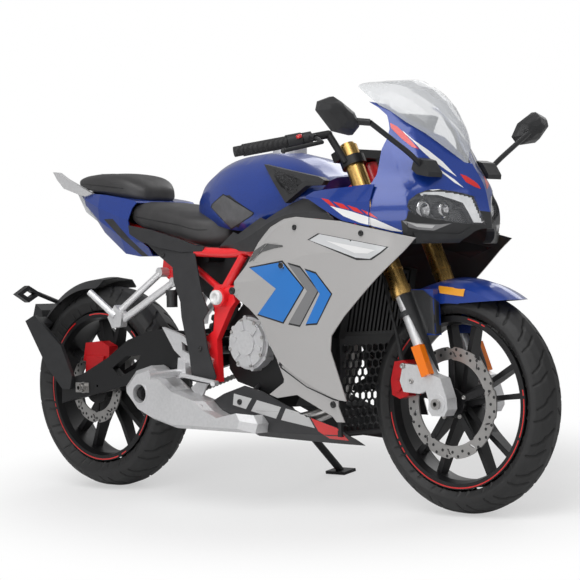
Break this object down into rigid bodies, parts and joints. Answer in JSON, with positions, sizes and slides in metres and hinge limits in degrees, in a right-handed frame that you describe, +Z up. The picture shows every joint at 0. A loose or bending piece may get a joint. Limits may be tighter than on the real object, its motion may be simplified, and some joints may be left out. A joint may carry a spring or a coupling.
{
  "type": "sport motorcycle",
  "caption": "Faired sport motorcycle leaning on its side stand, with a steerable upside-down fork, spinning wheels and a folding stand.",
  "frame": {"origin": "centre of the bottom of the whole motorcycle, on the ground", "axes": "+X ahead, +Y to the rider's left, +Z up; the motorcycle leans 9 degrees to +Y"},
  "size_m": [1.993, 0.9324, 1.1436],
  "materials": {
    "aluminium": "satin",
    "black_metal": "satin",
    "blue_paint": "metallic gloss",
    "clear": "clear",
    "dark_plastic": "grained",
    "gold": "anodised",
    "lamp_clear": "clear lens",
    "lamp_orange": "reflector",
    "mirror": "polished",
    "red_metal": "gloss",
    "rubber": "matte",
    "seat_cover": "vinyl",
    "silver_paint": "satin metallic",
    "steel": "brushed",
    "tyre": "matte"
  },
  "bodies": {
    "chassis": {"frame": "red_metal", "swingarm": "black_metal", "rear_axle_and_pivot": "steel", "drive_chain": "steel", "engine_covers": "aluminium", "engine": "black_metal", "exhaust_header": "steel", "muffler": "aluminium", "radiator": "black_metal", "fuel_tank": "blue_paint", "fuel_cap": "aluminium", "tail_cowl": "blue_paint", "grab_rails": "aluminium", "tail_light": "lamp_clear", "pillion_seat": "seat_cover", "rider_seat": "seat_cover", "side_panels": "dark_plastic", "side_fairings": "silver_paint", "turn_strips": "lamp_clear", "tank_trims": "dark_plastic", "belly_pan": "dark_plastic", "lower_grille": "dark_plastic", "nose_cowl": "blue_paint", "headlight_lenses": "clear", "chin_duct": "dark_plastic", "headlight_bodies": "lamp_clear", "windscreen": "clear", "cowl_sides": "blue_paint", "instrument": "dark_plastic", "mirrors": "dark_plastic", "mirror_glasses": "mirror", "footrests": "aluminium", "brake_reservoir": "dark_plastic", "plate_holder": "dark_plastic", "rear_caliper": "red_metal", "rear_shock": "red_metal", "stand_bracket": "black_metal"},
    "steering": {"fork_tubes": "gold", "fork_sliders": "aluminium", "triple_clamps": "black_metal", "front_axle": "steel", "fork_guards": "dark_plastic", "front_fender": "blue_paint", "front_caliper": "red_metal", "handlebars": "black_metal", "grips": "rubber", "bar_controls": "dark_plastic", "brake_hose": "rubber", "fork_reflectors": "lamp_orange"},
    "front_wheel": {"front_tyre": "tyre", "front_rim": "black_metal", "front_disc": "steel", "front_disc_carrier": "black_metal"},
    "rear_wheel": {"rear_tyre": "tyre", "rear_rim": "black_metal", "rear_disc": "steel", "rear_disc_carrier": "black_metal", "rear_sprocket": "steel"},
    "side_stand": {"side_stand": "black_metal"}
  },
  "joints": [
    {"name": "steering", "type": "hinge", "parent": "chassis", "child": "steering", "pos_m": [0.40625, -0.02802, 0.8511], "axis": [-0.4147, 0.1423, 0.8988], "range_deg": [-28, 28]},
    {"name": "front_wheel_spin", "type": "hinge", "parent": "steering", "child": "front_wheel", "pos_m": [0.7035, -0.11686, 0.29023], "axis": [0, 0.9877, -0.1564], "continuous": true},
    {"name": "rear_wheel_spin", "type": "hinge", "parent": "chassis", "child": "rear_wheel", "pos_m": [-0.6765, -0.11482, 0.30307], "axis": [0, 0.9877, -0.1564], "continuous": true},
    {"name": "side_stand", "type": "hinge", "parent": "chassis", "child": "side_stand", "pos_m": [-0.0765, 0.00472, 0.23959], "axis": [0, 0.8572, 0.515], "range_deg": [0, 95]}
  ]
}
